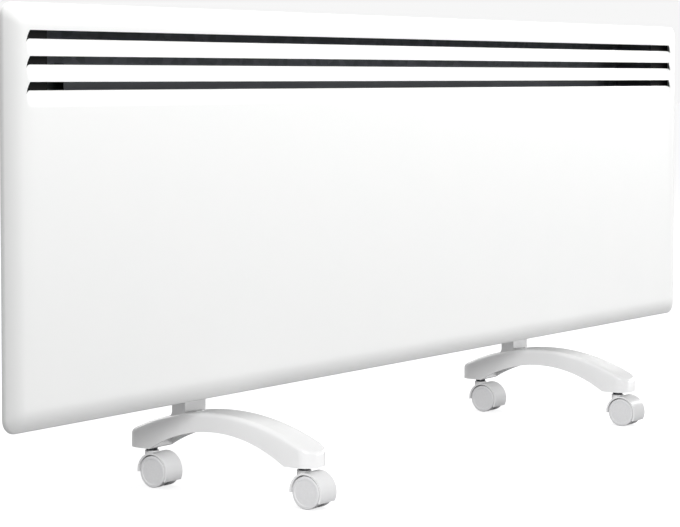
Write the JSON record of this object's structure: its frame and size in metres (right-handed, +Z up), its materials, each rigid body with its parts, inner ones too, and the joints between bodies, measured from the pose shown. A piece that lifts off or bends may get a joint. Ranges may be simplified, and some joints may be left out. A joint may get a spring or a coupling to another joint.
{
  "type": "panel convector heater",
  "caption": "Long white panel convector heater with a louvred front, end controls and arched feet on swivel castors.",
  "frame": {"origin": "on the floor, under the middle of the heater's whole length and depth", "axes": "+X along the heater, to the right of someone who faces its front; the front faces -Y; +Z up"},
  "size_m": [1.325, 0.2552, 0.507],
  "materials": {
    "panel_coat": "white powder coat, satin",
    "casing_coat": "white powder coat, satin",
    "shield_metal": "bright rolled sheet",
    "element_metal": "dark anodised, satin",
    "rod_steel": "heat-darkened steel sheath",
    "bush_ceramic": "unglazed",
    "zinc_steel": "zinc plated",
    "cutout_plastic": "moulded phenolic",
    "terminal_plastic": "moulded, natural",
    "earth_brass": "turned",
    "gland_plastic": "moulded nylon, light grey",
    "lead_sleeve": "silicone sleeve",
    "control_plastic": "fine moulded grain",
    "knob_plastic": "moulded, light grey",
    "switch_plastic": "moulded, black",
    "rocker_plastic": "moulded, black",
    "lens_plastic": "clear amber",
    "grommet_rubber": "moulded",
    "screw_steel": "zinc plated",
    "foot_plastic": "moulded, white",
    "hood_plastic": "moulded, white",
    "wheel_plastic": "moulded nylon, off-white",
    "stem_steel": "turned, dark"
  },
  "bodies": {
    "heater": {"front_panel": "panel_coat", "rear_casing": "casing_coat", "heat_shield": "shield_metal", "element_profile": "element_metal", "heating_rod": "rod_steel", "element_bushes": "bush_ceramic", "element_brackets": "zinc_steel", "thermal_cutout": "cutout_plastic", "cutout_screws": "screw_steel", "terminal_block": "terminal_plastic", "earth_stud": "earth_brass", "cable_gland": "gland_plastic", "gland_nut": "gland_plastic", "internal_leads": "lead_sleeve", "control_housing": "control_plastic", "control_screws": "screw_steel", "thermostat_body": "terminal_plastic", "pilot_lens": "lens_plastic", "switch_body": "switch_plastic", "wire_grommet": "grommet_rubber", "casing_screws": "screw_steel", "rivet_nuts": "zinc_steel", "foot_screws": "screw_steel", "foot_left": "foot_plastic", "foot_right": "foot_plastic", "stem_sockets": "stem_steel"},
    "castor_front_left": {"castor_hood_front_left": "hood_plastic", "castor_stem_front_left": "stem_steel", "castor_axle_front_left": "stem_steel"},
    "wheel_front_left_a": {"castor_wheel_front_left_a": "wheel_plastic"},
    "wheel_front_left_b": {"castor_wheel_front_left_b": "wheel_plastic"},
    "castor_front_right": {"castor_hood_front_right": "hood_plastic", "castor_stem_front_right": "stem_steel", "castor_axle_front_right": "stem_steel"},
    "wheel_front_right_a": {"castor_wheel_front_right_a": "wheel_plastic"},
    "wheel_front_right_b": {"castor_wheel_front_right_b": "wheel_plastic"},
    "castor_rear_left": {"castor_hood_rear_left": "hood_plastic", "castor_stem_rear_left": "stem_steel", "castor_axle_rear_left": "stem_steel"},
    "wheel_rear_left_a": {"castor_wheel_rear_left_a": "wheel_plastic"},
    "wheel_rear_left_b": {"castor_wheel_rear_left_b": "wheel_plastic"},
    "castor_rear_right": {"castor_hood_rear_right": "hood_plastic", "castor_stem_rear_right": "stem_steel", "castor_axle_rear_right": "stem_steel"},
    "wheel_rear_right_a": {"castor_wheel_rear_right_a": "wheel_plastic"},
    "wheel_rear_right_b": {"castor_wheel_rear_right_b": "wheel_plastic"},
    "thermostat": {"thermostat_spindle": "zinc_steel", "thermostat_knob": "knob_plastic"},
    "rocker": {"switch_rocker": "rocker_plastic"}
  },
  "joints": [
    {"name": "swivel_front_left", "type": "hinge", "parent": "heater", "child": "castor_front_left", "pos_m": [-0.3295, -0.09635, 0.0425], "axis": [0, 0, 1], "continuous": true},
    {"name": "roll_front_left_a", "type": "hinge", "parent": "castor_front_left", "child": "wheel_front_left_a", "pos_m": [-0.3295, -0.10735, 0.017], "axis": [1, 0, 0], "continuous": true},
    {"name": "roll_front_left_b", "type": "hinge", "parent": "castor_front_left", "child": "wheel_front_left_b", "pos_m": [-0.3295, -0.10735, 0.017], "axis": [1, 0, 0], "continuous": true},
    {"name": "swivel_front_right", "type": "hinge", "parent": "heater", "child": "castor_front_right", "pos_m": [0.3295, -0.09635, 0.0425], "axis": [0, 0, 1], "continuous": true},
    {"name": "roll_front_right_a", "type": "hinge", "parent": "castor_front_right", "child": "wheel_front_right_a", "pos_m": [0.3295, -0.10735, 0.017], "axis": [1, 0, 0], "continuous": true},
    {"name": "roll_front_right_b", "type": "hinge", "parent": "castor_front_right", "child": "wheel_front_right_b", "pos_m": [0.3295, -0.10735, 0.017], "axis": [1, 0, 0], "continuous": true},
    {"name": "swivel_rear_left", "type": "hinge", "parent": "heater", "child": "castor_rear_left", "pos_m": [-0.3295, 0.10765, 0.0425], "axis": [0, 0, 1], "continuous": true},
    {"name": "roll_rear_left_a", "type": "hinge", "parent": "castor_rear_left", "child": "wheel_rear_left_a", "pos_m": [-0.3295, 0.09665, 0.017], "axis": [1, 0, 0], "continuous": true},
    {"name": "roll_rear_left_b", "type": "hinge", "parent": "castor_rear_left", "child": "wheel_rear_left_b", "pos_m": [-0.3295, 0.09665, 0.017], "axis": [1, 0, 0], "continuous": true},
    {"name": "swivel_rear_right", "type": "hinge", "parent": "heater", "child": "castor_rear_right", "pos_m": [0.3295, 0.10765, 0.0425], "axis": [0, 0, 1], "continuous": true},
    {"name": "roll_rear_right_a", "type": "hinge", "parent": "castor_rear_right", "child": "wheel_rear_right_a", "pos_m": [0.3295, 0.09665, 0.017], "axis": [1, 0, 0], "continuous": true},
    {"name": "roll_rear_right_b", "type": "hinge", "parent": "castor_rear_right", "child": "wheel_rear_right_b", "pos_m": [0.3295, 0.09665, 0.017], "axis": [1, 0, 0], "continuous": true},
    {"name": "thermostat_turn", "type": "hinge", "parent": "heater", "child": "thermostat", "pos_m": [0.6385, 0.02121, 0.437], "axis": [-1, 0, 0], "range_deg": [0, 270]},
    {"name": "rocker_tilt", "type": "hinge", "parent": "heater", "child": "rocker", "pos_m": [0.6345, 0.02121, 0.381], "axis": [0, -1, 0], "range_deg": [0, 18]}
  ]
}
